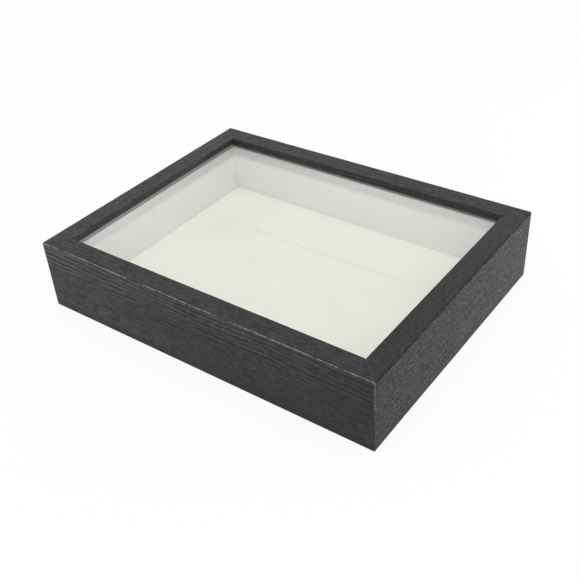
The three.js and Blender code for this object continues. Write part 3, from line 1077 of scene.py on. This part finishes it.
def makeFixings(name, words, body, sizes, driven, finish):
    # One mesh for all the screws or nails of a body, each where its node stands
    nodes = [node for node in frame["nodes"] if words in node]
    boxes = [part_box(node) for node in nodes]
    spots = [((low.x + high.x) / 2, (low.y + high.y) / 2, low.z) for low, high in boxes]
    low, high = boxes[0]
    values = dict(sizes, Finish=finish, Length=high.z - low.z)
    values["Head Radius"] = (high.x - low.x) / 2
    piece = grow(name, fixingTree(name, sizes, driven), values, spots)
    smooth(piece, sharpDegrees["fixing"])
    settle(piece, body, nodes)
    print(name + ":", len(nodes), "copies,", len(piece.data.polygons), "faces")


def makeHardware(steelFinish):
    makeFixings("cross_head_screws", "button_screw", "frame", screw, True, steelFinish)
    makeFixings("hanger_nails", "hanger_nail", "backing", nail, False, steelFinish)
    for node in list(frame["nodes"]):
        if node.startswith("turn_button"):
            piece = softened(node, node + "_plate", edgeEase["turn_button"])
            body = node.replace("turn_", "")
        elif node.startswith("corner_nail"):
            piece = softened(node, node + "_strip", edgeEase["corner_nail"])
            body = "frame"
        elif node.endswith("_hanger"):
            piece = softened(node, node + "_sawtooth", edgeEase["hanger"])
            body = "backing"
        else:
            continue
        dress(piece, steelFinish)
        settle(piece, body, [node])
    print("buttons, hangers and corner nails done")


# Studio

studio = {
    "floorSide": 8.0,
    "floorColour": (0.90, 0.90, 0.895, 1),
    "floorGlow": 0.88,
    "floorGap": 0.0001,
    "sky": 0.65,
}
# Name, place, width and height, power. The low lamps shine into the box no deeper than the shadow under
# its lip.
lamps = [
    ("top_lamp", (0.45, -0.50, 1.28), (1.5, 1.5), 10.3),
    ("left_lamp", (-0.42, -0.47, 0.065), (0.30, 0.05), 1.2),
    ("right_lamp", (0.47, 0.38, 0.06), (0.30, 0.07), 2.2),
]


def seenDirectly(start):  # 1 for what the camera sees, also mirrored or through the glass
    path = start.node("ShaderNodeLightPath", {}, {})
    seen = path.pick("Is Camera Ray") + path.pick("Is Glossy Ray") + path.pick("Is Transmission Ray")
    return start.maths("MINIMUM", seen, 1.0)


def makeFloor():
    low = cadLow.z - studio["floorGap"]
    half = studio["floorSide"] / 2
    corners = [(-half, -half, low), (half, -half, low), (half, half, low), (-half, half, low)]
    mesh = bpy.data.meshes.new("studio_floor")
    mesh.from_pydata(corners, [], [(0, 1, 2, 3)])
    floor = newPiece("studio_floor", mesh)
    material, start = newMaterial("pale_floor")
    matt = start.node("ShaderNodeBsdfDiffuse", {}, {"Color": studio["floorColour"]})
    white = start.node("ShaderNodeEmission", {}, {"Color": (1, 1, 1, 1), "Strength": 1.0})
    share = seenDirectly(start) * studio["floorGlow"]
    mixed = start.node("ShaderNodeMixShader", {}, {0: share, 1: matt, 2: white})
    start.node("ShaderNodeOutputMaterial", {}, {"Surface": mixed})
    mesh.materials.append(material)


def makeSky():
    world = bpy.data.worlds.new("studio")
    scene.world = world
    world.use_nodes = True
    world.node_tree.nodes.clear()
    start = Wire(world.node_tree)
    light = start.node("ShaderNodeBackground", {}, {"Color": (1, 1, 1, 1), "Strength": studio["sky"]})
    white = start.node("ShaderNodeBackground", {}, {"Color": (1, 1, 1, 1), "Strength": 1.0})
    mixed = start.node("ShaderNodeMixShader", {}, {0: seenDirectly(start), 1: light, 2: white})
    start.node("ShaderNodeOutputWorld", {}, {"Surface": mixed})


def makeLamps():
    for name, place, sides, power in lamps:
        lamp = bpy.data.lights.new(name, "AREA")
        lamp.shape = "RECTANGLE"
        lamp.energy = power
        lamp.size, lamp.size_y = sides
        holder = bpy.data.objects.new(name, lamp)
        scene.collection.objects.link(holder)
        holder.location = place
        holder.rotation_euler = Vector(place).to_track_quat("Z", "Y").to_euler()
        holder.visible_camera = False
        holder.visible_glossy = False
        holder.visible_transmission = False


placeCamera()
makeFloor()
makeSky()
makeLamps()
scene.view_settings.view_transform = "Standard"
print("camera, floor, sky and lamps done")

sightEdge = (rail["frontRadius"] * (1 - math.pi / 4) - rail["face"]) * perMillimetre
footEdge = (rail["height"] - rail["rearRadius"]) * perMillimetre
makeRails(foilMaterial(sightEdge, footEdge), fibreMaterial(rawCore))
makeInside(liningMaterial(), sheetMaterial(), fibreMaterial(hardboard), glassMaterial())
makeHardware(steelMaterial())
